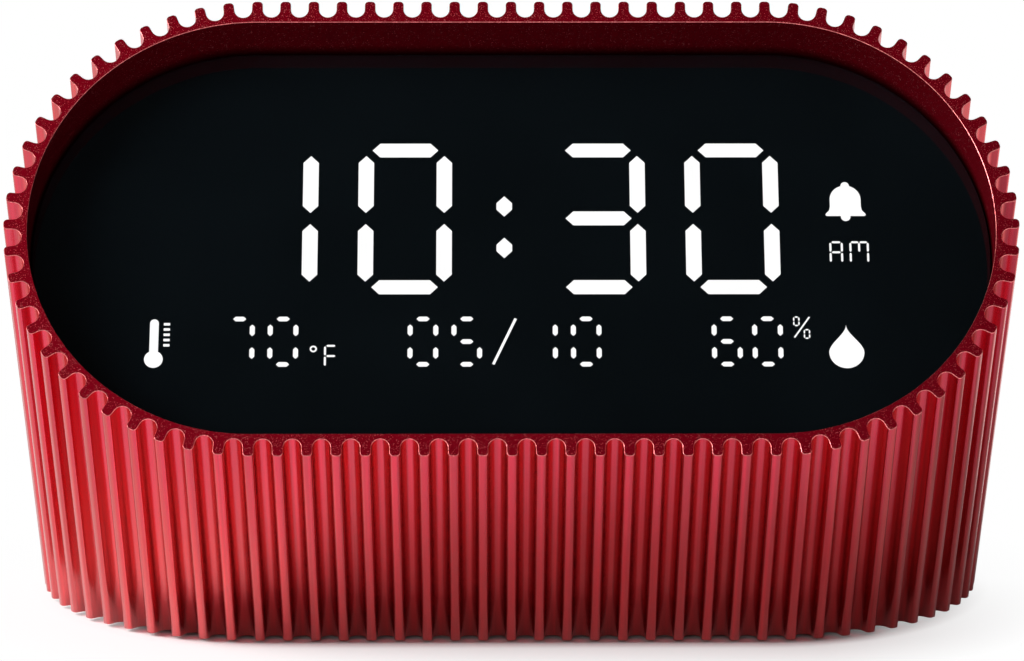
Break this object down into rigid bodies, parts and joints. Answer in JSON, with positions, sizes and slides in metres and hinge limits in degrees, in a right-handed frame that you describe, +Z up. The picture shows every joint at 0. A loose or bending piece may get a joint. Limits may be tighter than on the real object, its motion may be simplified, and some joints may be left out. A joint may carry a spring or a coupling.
{
  "type": "digital alarm clock",
  "caption": "Desk alarm clock: a leaning ribbed aluminium tube of stadium section with a recessed black display, push buttons and an alarm slide switch on a flat back.",
  "frame": {"origin": "on the resting surface, under the middle of the clock's bounding box", "axes": "+X along the width, to the right as the display is read; -Y out of the display; +Z up"},
  "size_m": [0.1414, 0.086, 0.0916],
  "materials": {
    "anodised_shell": "satin red anodised extrusion with blasted cut faces",
    "lens": "polished black tinted acrylic",
    "foam": "closed-cell foam",
    "chassis_plastic": "moulded black plastic",
    "lcd_glass": "negative liquid crystal panel",
    "white_film": "milky diffuser film",
    "white_plastic": "white reflective plastic",
    "led": "white light emitting diode with yellow phosphor",
    "circuit_board": "green solder mask",
    "bright_steel": "zinc-plated steel",
    "cream_plastic": "cream connector plastic",
    "ribbon_film": "polyester flat cable",
    "back_plastic": "fine-textured black plastic",
    "black_steel": "black zinc-plated steel",
    "base_plastic": "fine-textured black plastic",
    "foot_rubber": "soft grey-black rubber",
    "switch_plastic": "black switch body",
    "chip_resin": "black moulding resin",
    "socket_steel": "nickel-plated sheet steel",
    "speaker_metal": "stamped steel frame with a paper cone",
    "cell_wrap": "blue shrink wrap",
    "contact_nickel": "nickel-plated spring strip",
    "slider_plastic": "light grey moulded plastic",
    "button_plastic": "satin black plastic caps"
  },
  "bodies": {
    "clock_body": {"body_shell": "anodised_shell", "front_lens": "lens", "lens_gasket": "foam", "chassis": "chassis_plastic", "lcd_panel": "lcd_glass", "diffuser_sheet": "white_film", "light_box": "white_plastic", "backlight_leds": "led", "display_board": "circuit_board", "display_screws": "bright_steel", "ribbon_sockets": "cream_plastic", "ribbon_cable": "ribbon_film", "back_cover": "back_plastic", "cover_screws": "black_steel", "base_plate": "base_plastic", "base_screws": "black_steel", "foot_pads": "foot_rubber", "main_board": "circuit_board", "board_screws": "bright_steel", "push_switches": "switch_plastic", "slide_switch": "socket_steel", "controller_chips": "chip_resin", "climate_sensor": "cream_plastic", "usb_socket": "socket_steel", "speaker_driver": "speaker_metal", "speaker_gasket": "foam", "battery_tray": "chassis_plastic", "battery_cell": "cell_wrap", "battery_contacts": "contact_nickel"},
    "alarm_slider": {"alarm_slider": "slider_plastic"},
    "button_set": {"button_set": "button_plastic"},
    "button_alarm": {"button_alarm": "button_plastic"},
    "button_up": {"button_up": "button_plastic"},
    "button_down": {"button_down": "button_plastic"}
  },
  "joints": [
    {"name": "alarm_slide", "type": "slide", "parent": "clock_body", "child": "alarm_slider", "axis": [1, 0, 0], "range_m": [0, 0.004]},
    {"name": "button_set_press", "type": "slide", "parent": "clock_body", "child": "button_set", "axis": [0, -1, 0], "range_m": [0, 0.0008], "stiffness_N_per_m": 1500},
    {"name": "button_alarm_press", "type": "slide", "parent": "clock_body", "child": "button_alarm", "axis": [0, -1, 0], "range_m": [0, 0.0008], "stiffness_N_per_m": 1500},
    {"name": "button_up_press", "type": "slide", "parent": "clock_body", "child": "button_up", "axis": [0, -1, 0], "range_m": [0, 0.0008], "stiffness_N_per_m": 1500},
    {"name": "button_down_press", "type": "slide", "parent": "clock_body", "child": "button_down", "axis": [0, -1, 0], "range_m": [0, 0.0008], "stiffness_N_per_m": 1500}
  ]
}
